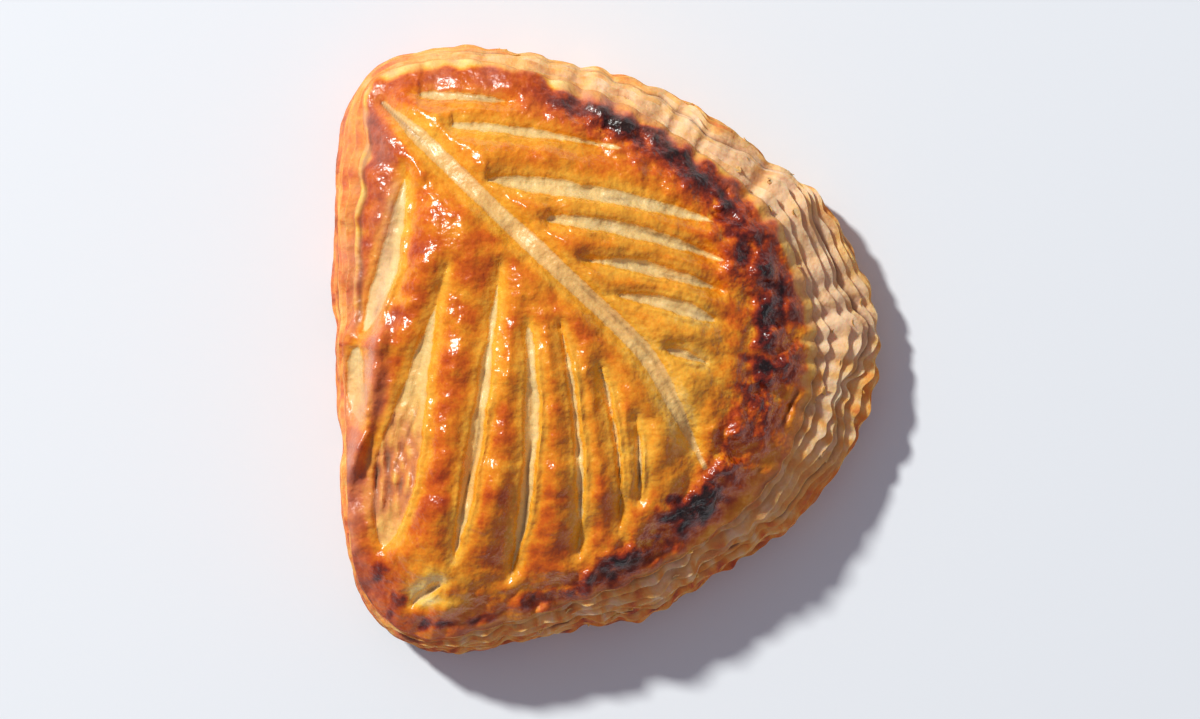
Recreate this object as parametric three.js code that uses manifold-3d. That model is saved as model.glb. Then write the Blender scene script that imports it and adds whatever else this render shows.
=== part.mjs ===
// An apple turnover: a fluted round of puff pastry folded in half over a spoonful of apple, sealed
// along its curved edge, scored with a leaf pattern and baked until its leaves stand apart.
// It is baked as one piece, so it is one solid. Millimetres, +Z up, the fold along Y on the -X side,
// the origin at the middle of the base's box.
import * as THREE from "three";
import { mergeVertices } from "three/addons/utils/BufferGeometryUtils.js";
import Module from "manifold-3d";

// ---- driving dimensions --------------------------------------------------------------------------

const FOLD_LENGTH = 130; // along Y, from corner to corner of the fold
const REACH = 117.5; // along X, from the fold to the curved edge
const HEIGHT = 40; // at the crown, over the filling

// The edge of the widest leaf seen from above, anticlockwise from the middle of the curved side.
const EDGE_POINTS = [
  [58.6, 0],
  [48.6, 28],
  [27, 47],
  [-1, 60],
  [-33, 65],
  [-52.5, 57],
  [-57.8, 25],
  [-57.3, -20],
  [-53.5, -53],
  [-38, -65],
  [0, -58],
  [27.5, -46],
  [49, -27],
];
const CROWN = new THREE.Vector2(-8, 0); // where the filling lifts the top highest

const RIM = { inset: 13.5, height: 21, dome: 2.1 }; // the curved side, where cut leaves fan out
const FOLD = { inset: 3.5, height: 23, dome: 4.2 }; // the folded side, which stays round and steep
const CORNER_SAG = 6; // how much lower the two corners puff
const CORNER_REACH = [60, 76]; // distances from the crown over which a side turns into a corner
const VALLEY = { at: 0.64, width: 0.08, depth: 1.5 }; // the dip where the veins stop
const ROLL = { at: 0.8, width: 0.12, height: 2 }; // the roll of crust between the veins and the rim

const LEAF_STEPS = 4; // groups of pastry leaves that show as steps on the wall
const LEAF_GROOVE = 1.2; // how far the wall draws in under each step
const WIDEST_AT = 0.2; // the widest leaf's height as a share of the wall's
const BASE_TUCK = 2.6; // how far the flat base stays inside the widest leaf
const FLUTES = 54; // waves that the fluted cutter left round the whole edge
const FLUTE_DEPTH = 1;

const SPOKES = 3 * FLUTES; // two for each flute's round back and one for its notch
const TOP_RINGS = [0.96, 0.89, 0.8, 0.72, 0.64, 0.52, 0.36, 0.18];

// The knife's leaf pattern: one curved midrib from the fold's far corner, and the veins on both
// sides of it. A vein is [start x, start y, end x, end y, bow to its left, opening, depth].
const MIDRIB = [
  [-46, 52],
  [-35, 41.5],
  [-15, 22.5],
  [3, 5],
  [13, -7],
  [22, -24],
];
const MIDRIB_CUT = { opening: 3, depth: 1.9 };
const VEINS = [
  [-40.5, 53, -22, 51.5, 0.6, 1.8, 1.2],
  [-32, 45.5, 3, 43, 1.6, 2.4, 1.4],
  [-24, 36, 25, 26.5, 2.2, 4.2, 2.6],
  [-12, 28.2, 26.5, 19, 1.8, 3.4, 2.6],
  [-4.5, 19, 23.5, 12.2, 1.3, 3.4, 2.6],
  [1.5, 11.8, 22.8, 6.6, 1, 3, 2.4],
  [14, 0.5, 22, -2.6, 0.3, 1.4, 1.2],
  [-41, 38.5, -51, 1, -1, 4.4, 2.8],
  [-48.4, -1, -50.6, -26, -1, 4.6, 2.8],
  [-32.5, 18, -45, -40, -2.4, 6, 3],
  [-20.5, 18.5, -30, -42.5, -2, 3.6, 2.8],
  [-16.8, 6, -20, -47.5, 2.4, 3.8, 2.8],
  [-8, 5, -5.4, -46, 1.6, 1.8, 1.8],
  [-0.4, -3, 4, -38, 1.4, 1.6, 1.6],
  [7.2, -13, 8.2, -28.5, 0.4, 1.2, 1.2],
];
const CUT_STATIONS = 9;
const CUT_CLEARANCE = 6; // how far a cutter stands above the crust

// ---- helpers -------------------------------------------------------------------------------------

const smooth = (low, high, x) => THREE.MathUtils.smoothstep(x, low, high);
const mix = THREE.MathUtils.lerp;
const bump = (x, at, width) => Math.exp(-(((x - at) / width) ** 2));

// A closed mesh through rings of points, each ring turning by the right-hand rule about the way that
// the rings follow each other. Both ends are closed by a fan.
function loft(rings) {
  const count = rings[0].length;
  const points = rings.flat();
  const first = points.push(centreOf(rings[0])) - 1;
  const last = points.push(centreOf(rings.at(-1))) - 1;
  const faces = [];
  for (let i = 0; i < count; i++) {
    const next = (i + 1) % count;
    for (let k = 0; k + 1 < rings.length; k++) {
      const [a, b] = [k * count + i, k * count + next];
      faces.push(a, b, b + count, a, b + count, a + count);
    }
    const top = (rings.length - 1) * count;
    faces.push(first, next, i, last, top + i, top + next);
  }
  const geometry = new THREE.BufferGeometry().setFromPoints(points);
  geometry.setIndex(faces);
  return geometry;
}

function centreOf(ring) {
  return ring.reduce((sum, p) => sum.add(p), new THREE.Vector3()).divideScalar(ring.length);
}

// ---- the pastry's own shape ----------------------------------------------------------------------

const edge = new THREE.CatmullRomCurve3(
  EDGE_POINTS.map(([x, y]) => new THREE.Vector3(x, y, 0)),
  true,
  "centripetal",
);

// What a vertical cut from the crown to the edge has at one place along the edge.
function spokeAt(share) {
  const point = edge.getPointAt(share);
  const along = edge.getTangentAt(share);
  const outward = new THREE.Vector2(along.y, -along.x);
  const curved = smooth(-0.7, 0.9, outward.x); // 0 on the fold, 1 on the curved side
  const corner = smooth(...CORNER_REACH, Math.hypot(point.x - CROWN.x, point.y - CROWN.y));
  return {
    edge: new THREE.Vector2(point.x, point.y),
    outward,
    curved,
    flute: -FLUTE_DEPTH * curved * Math.cos(2 * Math.PI * FLUTES * share),
    inset: mix(FOLD.inset, RIM.inset, curved),
    height: mix(FOLD.height, RIM.height, curved) - CORNER_SAG * corner,
    dome: mix(FOLD.dome, RIM.dome, curved),
  };
}

const spokes = Array.from({ length: SPOKES }, (_, i) => spokeAt(i / SPOKES));
const shoulders = spokes.map((s) => s.edge.clone().addScaledVector(s.outward, -s.inset));
const bearings = shoulders.map((p) => Math.atan2(p.y - CROWN.y, p.x - CROWN.x));

// The crust's height at a share of the way from the crown to a spoke's shoulder.
function crustHeight(spoke, share) {
  const dome = (HEIGHT - spoke.height) * (1 - share ** spoke.dome);
  const valley = VALLEY.depth * bump(share, VALLEY.at, VALLEY.width);
  const roll = ROLL.height * bump(share, ROLL.at, ROLL.width);
  return spoke.height + dome + spoke.curved * (roll - valley);
}

// The crust's height over any point of the plan, from the spoke whose bearing is nearest.
function crustHeightAt(x, y) {
  const bearing = Math.atan2(y - CROWN.y, x - CROWN.x);
  const turn = bearings.map((b) => Math.abs(Math.atan2(Math.sin(b - bearing), Math.cos(b - bearing))));
  const nearest = turn.indexOf(Math.min(...turn));
  const reach = shoulders[nearest].distanceTo(CROWN);
  return crustHeight(spokes[nearest], Math.min(1, Math.hypot(x - CROWN.x, y - CROWN.y) / reach));
}

// One ring of the wall: out from the edge by reach(spoke), at height(spoke).
function wallRing(reach, height) {
  return spokes.map((s) => {
    const p = s.edge.clone().addScaledVector(s.outward, reach(s));
    return new THREE.Vector3(p.x, p.y, height(s));
  });
}

// The base, then for each step its lip and the groove over it, which the next step overhangs.
function wallRings() {
  const back = (step) => (step / LEAF_STEPS) ** 1.2; // the share of the inset that is used by then
  const level = (step) => mix(WIDEST_AT, 1, step / LEAF_STEPS);
  const groove = (s) => LEAF_GROOVE * (0.25 + 0.75 * s.curved);
  const rings = [wallRing((s) => s.flute / 2 - BASE_TUCK, () => 0)];
  for (let step = 0; step < LEAF_STEPS; step++) {
    rings.push(wallRing((s) => s.flute - s.inset * back(step), (s) => s.height * level(step)));
    rings.push(wallRing((s) => -s.inset * back(step + 1) - groove(s), (s) => s.height * level(step + 0.55)));
  }
  rings.push(wallRing((s) => s.flute / 2 - s.inset, (s) => s.height));
  return rings;
}

function topRings() {
  return TOP_RINGS.map((share) =>
    spokes.map((s, i) => {
      const p = CROWN.clone().lerp(shoulders[i], share);
      return new THREE.Vector3(p.x, p.y, crustHeight(s, share));
    }),
  );
}

// ---- the knife's cuts ----------------------------------------------------------------------------

// A boat-shaped cutter along a curve in plan, with its keel at a depth under the crust.
function cutter(curve, { opening, depth }) {
  const rings = [];
  for (let i = 0; i < CUT_STATIONS; i++) {
    const share = i / (CUT_STATIONS - 1);
    const point = curve.getPointAt(share);
    const along = curve.getTangentAt(share);
    const left = new THREE.Vector3(-along.y, along.x, 0);
    const fullness = 0.12 + 0.88 * Math.sin(Math.PI * share) ** 0.7;
    const half = (opening / 2) * fullness;
    const crust = crustHeightAt(point.x, point.y);
    const section = [
      [half * 1.5, crust + CUT_CLEARANCE],
      [-half * 1.5, crust + CUT_CLEARANCE],
      [-half, crust - 0.2 * depth * fullness],
      [-half * 0.45, crust - depth * fullness],
      [half * 0.45, crust - depth * fullness],
      [half, crust - 0.2 * depth * fullness],
    ];
    rings.push(
      section.map(([aside, z]) => {
        const p = point.clone().addScaledVector(left, aside);
        return new THREE.Vector3(p.x, p.y, z);
      }),
    );
  }
  return loft(rings);
}

function veinCutter([startX, startY, endX, endY, bow, opening, depth]) {
  const start = new THREE.Vector3(startX, startY, 0);
  const end = new THREE.Vector3(endX, endY, 0);
  const along = end.clone().sub(start).normalize();
  const middle = start.clone().add(end).divideScalar(2);
  middle.add(new THREE.Vector3(-along.y, along.x, 0).multiplyScalar(2 * bow));
  return cutter(new THREE.QuadraticBezierCurve3(start, middle, end), { opening, depth });
}

function midribCutter() {
  const curve = new THREE.CatmullRomCurve3(MIDRIB.map(([x, y]) => new THREE.Vector3(x, y, 0)));
  return cutter(curve, MIDRIB_CUT);
}

// ---- booleans ------------------------------------------------------------------------------------

const wasm = await Module();
wasm.setup();

function solid(geometry) {
  const merged = mergeVertices(geometry);
  const mesh = new wasm.Mesh({
    numProp: 3,
    vertProperties: merged.attributes.position.array,
    triVerts: new Uint32Array(merged.index.array),
  });
  return new wasm.Manifold(mesh);
}

function geometryOf(manifold) {
  const mesh = manifold.getMesh();
  const geometry = new THREE.BufferGeometry();
  geometry.setAttribute("position", new THREE.BufferAttribute(mesh.vertProperties, 3));
  geometry.setIndex(new THREE.BufferAttribute(mesh.triVerts, 1));
  geometry.computeVertexNormals();
  return geometry;
}

// ---- the part ------------------------------------------------------------------------------------

let turnover = solid(loft([...wallRings(), ...topRings()]));
for (const cut of [midribCutter(), ...VEINS.map(veinCutter)]) turnover = turnover.subtract(solid(cut));

// The baked shape is brought to its stated size, with its base's box centred on the origin.
const geometry = geometryOf(turnover);
geometry.computeBoundingBox();
const { min, max } = geometry.boundingBox;
geometry.translate(-(min.x + max.x) / 2, -(min.y + max.y) / 2, -min.z);
geometry.scale(REACH / (max.x - min.x), FOLD_LENGTH / (max.y - min.y), HEIGHT / (max.z - min.z));

const crust = new THREE.MeshStandardMaterial({ color: 0xd08a35, roughness: 0.4, metalness: 0 });
const mesh = new THREE.Mesh(geometry, crust);
mesh.name = "turnover";

const group = new THREE.Group();
group.add(mesh);

export default group;
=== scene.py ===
# %% [markdown]
# # An apple turnover
# A turnover is a round of puff pastry folded over apple, sealed, brushed with egg, scored with a
# knife and baked. It is one baked piece, so it is made here as one closed mesh, and everything that
# can be seen on it is a rule: a domed crust, a wall of thin leaves, a leaf pattern of cuts and the
# marks that the oven leaves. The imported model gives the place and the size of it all.

# %% The frame
import itertools
import math
from collections import namedtuple

import bmesh
import bpy
import numpy as np
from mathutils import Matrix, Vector, noise


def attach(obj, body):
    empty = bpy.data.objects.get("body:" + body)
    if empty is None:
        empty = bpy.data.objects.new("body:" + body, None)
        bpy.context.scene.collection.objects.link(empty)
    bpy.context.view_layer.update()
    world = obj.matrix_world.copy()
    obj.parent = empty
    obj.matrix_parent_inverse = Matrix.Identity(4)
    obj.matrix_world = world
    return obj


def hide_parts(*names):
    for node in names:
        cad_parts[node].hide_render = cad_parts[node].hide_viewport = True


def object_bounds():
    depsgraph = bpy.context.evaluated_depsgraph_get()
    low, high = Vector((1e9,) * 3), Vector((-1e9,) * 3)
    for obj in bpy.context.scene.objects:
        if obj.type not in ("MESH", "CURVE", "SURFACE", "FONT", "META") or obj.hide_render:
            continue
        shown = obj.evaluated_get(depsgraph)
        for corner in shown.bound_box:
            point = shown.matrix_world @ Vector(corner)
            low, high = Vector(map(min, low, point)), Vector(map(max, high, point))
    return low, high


MM = 0.001  # the shape is worked out in millimetres, and Blender's unit is the metre

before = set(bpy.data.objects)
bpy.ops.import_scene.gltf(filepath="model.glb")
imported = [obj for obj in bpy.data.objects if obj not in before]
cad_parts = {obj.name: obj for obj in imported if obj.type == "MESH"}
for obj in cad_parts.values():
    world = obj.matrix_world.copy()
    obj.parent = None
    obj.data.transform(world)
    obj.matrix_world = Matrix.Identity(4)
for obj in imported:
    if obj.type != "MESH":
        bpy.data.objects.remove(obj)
cad_low, cad_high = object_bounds()
cad_size = np.array(cad_high - cad_low) / MM
print("the packed turnover measures", cad_size.round(1), "mm")

# %% [markdown]
# ## Smooth steps, bumps and noise
# A few small helpers shape nearly everything. `step` goes smoothly from 0 to 1, `bump` is a soft
# ridge, `hill` is a bump round one place, and `grain` is Perlin noise read at each point. Noise is
# read at places in millimetres, so a pattern keeps its real size, and a seed moves the pattern
# without changing its character.


# %% Helpers
def step(low, high, x):
    """0 below low, 1 above high and smooth between them. low may be the larger one."""
    t = np.clip((x - low) / (high - low), 0, 1)
    return t * t * (3 - 2 * t)


def bump(x, width):
    """1 where x is 0, falling away over about width on both sides."""
    return np.exp(-((x / width) ** 2))


def hill(points, centre, width):
    """1 at centre, falling away over about width on all sides."""
    return bump(np.linalg.norm(points - centre, axis=1), width)


def mix(a, b, share):
    return a + (b - a) * share


def grain(points, size, seed):
    """Noise from about -1 to 1, whose hills are about size apart."""
    moved = np.asarray(points, float) / size + seed * 7.31
    return np.array([noise.noise(Vector(p)) for p in moved]) * 1.6


# %% [markdown]
# ## The outline
# Seen from above, the turnover is a rounded half-moon: a nearly straight fold on the -X side, and a
# long curved edge where the two halves are sealed. Thirteen points and a closed Catmull-Rom curve
# give it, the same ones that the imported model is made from. The curve is cut into equal lengths,
# and each cut is a spoke that the crust and the wall share.

# %% The edge of the widest leaf
EDGE_POINTS = [
    (58.6, 0),
    (48.6, 28),
    (27, 47),
    (-1, 60),
    (-33, 65),
    (-52.5, 57),
    (-57.8, 25),
    (-57.3, -20),
    (-53.5, -53),
    (-38, -65),
    (0, -58),
    (27.5, -46),
    (49, -27),
]
SPOKES = 896
CROWN = np.array([-8.0, 0.0])  # where the filling lifts the top highest


def between(a, b, start, end, t):
    return ((end - t) * a + (t - start) * b) / (end - start)


def catmull_rom(points, closed, per_span=40):
    """A centripetal Catmull-Rom curve through points, as many short steps."""
    p = np.array(points, float)
    if closed:
        p = np.vstack([p[-1], p, p[:2]])
    else:
        p = np.vstack([2 * p[0] - p[1], p, 2 * p[-1] - p[-2]])
    knots = np.concatenate([[0], np.cumsum(np.linalg.norm(np.diff(p, axis=0), axis=1) ** 0.5)])
    pieces = []
    for i in range(1, len(p) - 2):
        k0, k1, k2, k3 = knots[i - 1 : i + 3]
        t = np.linspace(k1, k2, per_span, endpoint=False)[:, None]
        first = between(p[i - 1], p[i], k0, k1, t)
        second = between(p[i], p[i + 1], k1, k2, t)
        third = between(p[i + 1], p[i + 2], k2, k3, t)
        early = between(first, second, k0, k2, t)
        late = between(second, third, k1, k3, t)
        pieces.append(between(early, late, k1, k2, t))
    line = np.vstack(pieces)
    return line if closed else np.vstack([line, p[-2]])


def even_loop(line, count):
    """count points at equal distances round a closed line, and the length of the whole."""
    ring = np.vstack([line, line[0]])
    run = np.concatenate([[0], np.cumsum(np.linalg.norm(np.diff(ring, axis=0), axis=1))])
    where = np.arange(count) / count * run[-1]
    return np.stack([np.interp(where, run, ring[:, i]) for i in range(2)], axis=1), run[-1]


edge, edge_length = even_loop(catmull_rom(EDGE_POINTS, closed=True), SPOKES)
along = np.roll(edge, -1, axis=0) - np.roll(edge, 1, axis=0)
along /= np.linalg.norm(along, axis=1)[:, None]
outward = np.stack([along[:, 1], -along[:, 0]], axis=1)
share = np.arange(SPOKES) / SPOKES
edge3 = np.column_stack([edge, np.zeros(SPOKES)])
print("the edge is", round(edge_length), "mm round")

# %% [markdown]
# ## What changes round the edge
# The fold stays steep and round. On the curved side the leaves were cut, so they rise apart and
# fan out, and the top crust is drawn back from them. Each spoke holds how far back and how high the
# crust's own edge is. The fluted cutter left waves in the edge, which all leaves share. By the far
# corner of the fold the crust has slipped back and shows a ledge of the leaf below it.

# %% Facts of each spoke
FOLD_INSET = 3.0
LEDGE = 2.6  # how far the crust has slipped back beside the far corner of the fold
RIM_INSET = 14.5
FOLD_HEIGHT = 23.0
RIM_HEIGHT = 22.0
CORNER_SAG = 6.0
CROWN_HEIGHT = 38.0
FOLD_DOME = 3.7  # a high power keeps the top level for longer and drops it steeply at its edge
RIM_DOME = 2.1
FLUTES = 54
FLUTE_DEPTH = 0.75
TORN_PLACE = (46, -31)
TORN_WIDTH = 9
NOTCHES = [  # where the edge was pushed in: x, y, how wide and how far, and less than 0 is a bulge
    (-57.6, 5, 4.5, 1.7),
    (-57.2, -20, 4, 1.5),
    (-54, -46, 9, 2),
    (-57, 22, 10, 0.8),
    (-47, 61, 5, -1),
    (-23, 64, 6, 1.3),
    (-8, 61.5, 4, 1.1),
    (35, 41, 6, 1.7),
    (45, 33, 5, -0.8),
    (38, -37, 10, -0.8),
    (10, -57, 11, -2.4),
    (-20, -63, 6, 1.1),
]

curved = step(-0.7, 0.9, outward[:, 0])  # 0 on the fold, 1 on the curved side
fanned = np.clip((outward[:, 0] + 0.7) / 1.7, 0, 1) ** 2.2  # how far the cut leaves fan out
corner = step(60, 76, np.linalg.norm(edge - CROWN, axis=1))  # 1 at both ends of the fold
ledge = (1 - curved) * step(0, 9, edge[:, 1]) * step(56, 47, edge[:, 1])
torn = hill(edge, TORN_PLACE, TORN_WIDTH)  # where the leaves tore off and left the wall plain
inset = mix(FOLD_INSET, RIM_INSET, fanned) + LEDGE * ledge * (1 + 0.45 * grain(edge3, 7, 4))
rim_height = mix(FOLD_HEIGHT, RIM_HEIGHT, curved) - CORNER_SAG * corner
dome_power = mix(FOLD_DOME, RIM_DOME, curved)
dent = sum(deep * hill(edge, (x, y), wide) for x, y, wide, deep in NOTCHES)
shoulder = edge - outward * inset[:, None]


def flutes(drift):
    """The cutter's round lobes, in mm outwards. drift slides them along the edge, in lobes."""
    lobes = np.sqrt(np.cos(math.pi * (FLUTES * share + drift)) ** 2 + 0.05) - 0.65
    return FLUTE_DEPTH * (0.15 + 0.85 * curved) * lobes * (1 + 0.5 * grain(edge3, 17, 3))


def round_edge(values, at):
    """values of the spokes, read at any shares of the way round."""
    closed = np.append(values, values[:1], axis=0)
    return np.interp(np.mod(at, 1), np.arange(SPOKES + 1) / SPOKES, closed)


# %% [markdown]
# ## A square grid pressed into the outline
# A polar grid would crowd its points at the crown and starve the rim. A square grid that is pressed
# into a disc keeps its faces nearly the same size all over, has no pole, and its border has four
# times as many points as its side, which is just what the wall below needs.

# %% The crust's grid
GRID = SPOKES // 4
RIM_FLUTES = 1.1  # how far the crust's own edge follows the cutter's lobes

across, up = np.meshgrid(np.linspace(-1, 1, GRID + 1), np.linspace(-1, 1, GRID + 1))
wide = np.abs(across) > np.abs(up)
ratio = np.where(wide, up, across) / np.where(wide, across, np.where(up == 0, 1, up))
radius = np.where(wide, across, up)
turn = np.where(wide, math.pi / 4 * ratio, math.pi / 2 - math.pi / 4 * ratio)
turn = np.where(radius < 0, turn + math.pi, turn).ravel()
reach = np.abs(radius).ravel()
at = np.mod(turn / (2 * math.pi), 1)

home = np.stack([round_edge(shoulder[:, i], at) for i in range(2)], axis=1)
normal = np.stack([round_edge(outward[:, i], at) for i in range(2)], axis=1)
rim_flute = RIM_FLUTES * round_edge(flutes(0.1), at) * step(0.84, 1, reach)
plan = CROWN + (home - CROWN) * reach[:, None] + normal * rim_flute[:, None]
to_rim = (1 - reach) * np.linalg.norm(home - CROWN, axis=1)
plan3 = np.column_stack([plan, np.zeros(len(plan))])
curved_at = round_edge(curved, at)
print("the crust has", len(plan), "points, about", round(2 * 60 / GRID, 2), "mm apart")

# %% [markdown]
# ## The knife's cuts
# The baker scores a leaf: one curved midrib, and veins on both sides that start near it and stop
# short of the sealed edge. In the oven each cut opens like a boat, and the strips between them puff.
# A vein is its start, its end, its bow to the left, how wide it opens, how deep it is, and where
# along it the opening is widest. Each point of the grid then learns how far it is from a cut's edge.

# %% Lines on the crust
Vein = namedtuple("Vein", "start end bow opening depth widest")
MIDRIB = [(-47, 51.5), (-38.5, 43.5), (-21, 26.5), (-4.8, 11.3), (8.5, -2), (16, -16), (20.5, -25)]
MIDRIB_WIDTH = 3.5
VEINS = [
    Vein((-39.5, 53.2), (-20, 51.4), 0.3, 1.6, 1.0, 0.35),
    Vein((-32.5, 46.4), (4.5, 41.2), 0.8, 2.0, 0.9, 0.3),
    Vein((-25, 34.8), (24, 25.8), 1.4, 3.6, 2.2, 0.33),
    Vein((-12.6, 26.6), (25.6, 17.6), 1.7, 2.9, 2.2, 0.4),
    Vein((-5, 18), (23.4, 12), 1.2, 2.7, 2.2, 0.5),
    Vein((0.8, 10.8), (22.8, 5.4), 1.2, 2.6, 2.0, 0.6),
    Vein((11.8, -0.4), (21, -3.4), 0.4, 1.4, 1.0, 0.6),
    Vein((-41.8, 37), (-51, 2.8), 1.4, 4.4, 2.4, 0.6),
    Vein((-52.2, 0.4), (-51, -16), -1.0, 4.2, 2.2, 0.45),
    Vein((-33, 16.4), (-46.8, -42), -0.9, 8.8, 2.9, 0.72),
    Vein((-22, 17), (-31.6, -44), 0.6, 2.6, 1.9, 0.6),
    Vein((-16.3, 5), (-20.2, -48), 2.6, 2.8, 1.9, 0.45),
    Vein((-9.6, 5), (-5.8, -44.5), 1.8, 1.3, 1.5, 0.35),
    Vein((-1.5, -3.8), (2.8, -38.5), 1.6, 1.0, 1.2, 0.35),
    Vein((6.1, -14.2), (6.8, -32), 0.3, 0.8, 0.8, 0.5),
    Vein((-41, -54), (-34.5, -49.4), 0.3, 1.8, 1.4, 0.5),
]


def measure(line, points):
    """Each point's distance to a line, positive on its left, and its share of the way along it."""
    start, end = line[:-1], line[1:]
    run = end - start
    length = np.linalg.norm(run, axis=1)
    before = np.concatenate([[0], np.cumsum(length)[:-1]])
    offset = points[:, None, :] - start
    t = np.clip((offset * run).sum(2) / length**2, 0, 1)
    away = offset - t[:, :, None] * run
    far = np.linalg.norm(away, axis=2)
    best = far.argmin(1)
    row = np.arange(len(points))
    side = run[best, 0] * away[row, best, 1] - run[best, 1] * away[row, best, 0]
    way = (before[best] + t[row, best] * length[best]) / length.sum()
    return np.where(side < 0, -far[row, best], far[row, best]), way


def bowed(start, end, bow, count=24):
    """A line from start to end that stands bow to the left of the straight one at its middle."""
    start, end = np.array(start, float), np.array(end, float)
    chord = end - start
    left = np.array([-chord[1], chord[0]]) / np.linalg.norm(chord)
    t = np.linspace(0, 1, count)[:, None]
    return start + chord * t + left * bow * 4 * t * (1 - t)


def boat(way, widest):
    """How full a cut is along its way: 0 at both ends and 1 where it is widest."""
    warped = np.clip(way, 1e-6, 1) ** (math.log(0.5) / math.log(widest))
    return np.sin(math.pi * np.clip(warped, 0, 1)) ** 0.75


# %% How far each point is from a cut
CUT_WALL = 1.5  # the width over which a cut's side falls

wander = grain(plan3, 6, 11) * 0.35 + grain(plan3, 1.7, 12) * 0.16
midrib_gap, midrib_way = measure(catmull_rom(MIDRIB, closed=False, per_span=8), plan)
midrib_full = step(0, 0.12, midrib_way) * step(1, 0.8, midrib_way)
fold_side = step(3, -3, midrib_gap)  # the half of the leaf that lies towards the fold
opening = np.abs(midrib_gap) - MIDRIB_WIDTH / 2 * mix(0.3, 1, midrib_full) + wander * 0.35
cut_depth = mix(0.3, 0.9, midrib_full) * step(CUT_WALL / 2, -CUT_WALL / 2, opening)
fibre = midrib_gap.copy()
# split_and_shade gathers the thin splits: each dips the crust a little, and the finish paints shade along
# it.
split_and_shade = 0.6 * bump(midrib_gap - 0.7, 0.42) * step(0.45, 0.6, midrib_way) * step(1, 0.85, midrib_way)
raised = np.zeros(len(plan))
for number, vein in enumerate(VEINS):
    gap, way = measure(bowed(vein.start, vein.end, vein.bow), plan)
    full = boat(way, vein.widest)
    outside = np.abs(gap) - vein.opening / 2 * full + wander * step(0, 0.4, full)
    outside += 0.6 * step(0.25, 0, full)
    near = outside < opening
    opening = np.where(near, outside, opening)
    fibre = np.where(near, gap + number, fibre)
    inside = step(CUT_WALL / 2, -0.32 * vein.opening - 0.5, outside) * step(0, 0.25, full)
    cut_depth = np.maximum(cut_depth, vein.depth * inside * mix(0.5, 1, full))
    runs_down = vein.start[1] - vein.end[1] > 12
    higher_side = 0.5 + step(-0.3, 0.3, gap if runs_down else -gap)  # the knife leans
    raised = np.maximum(raised, bump(outside - 0.6, 0.6) * full * higher_side)
    split = bump(gap + 0.25 * vein.opening * grain(plan3, 14, 60 + number), 0.36)
    split_and_shade = np.maximum(split_and_shade, split * step(0.4, 0.6, way) * step(0.97, 0.8, way) * full)
split_and_shade *= step(-0.2, 0.5, 0.25 + grain(plan3, 7, 13))
split_and_shade = np.maximum(split_and_shade, bump(midrib_gap + 0.3, 0.45) * step(0.16, 0.05, midrib_way))
cut = step(0.15, -0.3, opening)
pillow = 1 - np.exp(-((np.maximum(opening + 0.3, 0) / 2.8) ** 1.4))
print("cuts cover", round(100 * float((cut > 0.5).mean()), 1), "% of the crust")

# %% [markdown]
# ## The crust's relief
# All heights add up on the grid. First the dome over the filling and the roll above the sealed edge,
# then the strips between the cuts, which puff up like small pillows, then the blisters and pimples
# of the skin, and last the cuts. The roll stands highest near the edge, so it scorches first.

# %% Dome and roll
ROLL = [
    (-33, -54),
    (-19, -53.2),
    (-7.5, -51),
    (3, -44.5),
    (17.2, -33.6),
    (23.5, -24.5),
    (29.8, -11.6),
    (33.2, -3),
    (33.6, 8.5),
    (29.6, 19.5),
    (24.6, 29.6),
    (16, 37.4),
    (3.2, 45),
    (-7, 50.2),
    (-20, 54.6),
]
ROLL_RISE = 1.8
ROLL_WIDTH = 6.2
DITCH_DEPTH = 1.6  # the dip where the strips meet the roll
DITCH_INSIDE = 8
DITCH_WIDTH = 3.2

rim_at = round_edge(rim_height, at)
dome = rim_at + (CROWN_HEIGHT - rim_at) * (1 - reach ** round_edge(dome_power, at))
roll_gap, roll_way = measure(catmull_rom(ROLL, closed=False, per_span=8), plan)
roll_ends = step(0, 0.12, roll_way) * step(1, 0.88, roll_way)
on_roll = bump(roll_gap + 1.5, 6) * roll_ends
roll = ROLL_RISE * bump(roll_gap, ROLL_WIDTH) * roll_ends
ditch = DITCH_DEPTH * bump(roll_gap - DITCH_INSIDE, DITCH_WIDTH) * roll_ends
among = mix(1, step(2, 8, roll_gap), roll_ends)  # 1 among the cuts, 0 on the roll

# %% [markdown]
# On the curved side the crust's border creased and stands up as a lip, here and there. By the fold
# a strip of dough twisted over the widest cut.

# %% The creased lip and the twisted strip
LIP_WIDTH = 3.4
ROPE = [(-43, 33), (-46.6, 8), (-49, -8), (-52.2, -22), (-54.4, -30), (-53.4, -38), (-50.6, -44)]
ROPE_RISE = 2.6
ROPE_WIDTH = 1.9

lip_at = LIP_WIDTH + 0.9 * grain(plan3, 5, 47)  # how far from its edge the crust has creased
lip = curved_at * step(-0.35, 0.15, grain(plan3, 9, 48)) * step(10, -10, plan[:, 1])
lip_relief = (0.35 * bump(to_rim - lip_at + 1.6, 1.1) - 0.4 * bump(to_rim - lip_at, 0.9)) * lip
# The creases dip the crust a little, and the finish paints shade along them.
crease_and_shade = (bump(to_rim - lip_at, 0.55) + bump(to_rim, 0.6)) * lip
crease_and_shade += bump(to_rim - 1.3, 0.6) * round_edge(ledge, at)
split_and_shade = np.maximum(split_and_shade, crease_and_shade)
rope_gap, rope_way = measure(catmull_rom(ROPE, closed=False, per_span=8), plan)
rope = bump(rope_gap, ROPE_WIDTH) * step(0.15, 0.45, rope_way) * step(1, 0.7, rope_way)
# The dip beside the twisted strip is real, and the finish also paints shade along it.
rope_dip_and_shade = bump(rope_gap - 2.6, 1.1)  # the dip between the strip and the rest of the crust
rope_dip_and_shade *= step(0.3, 0.55, rope_way) * step(0.85, 0.6, rope_way)

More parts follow.
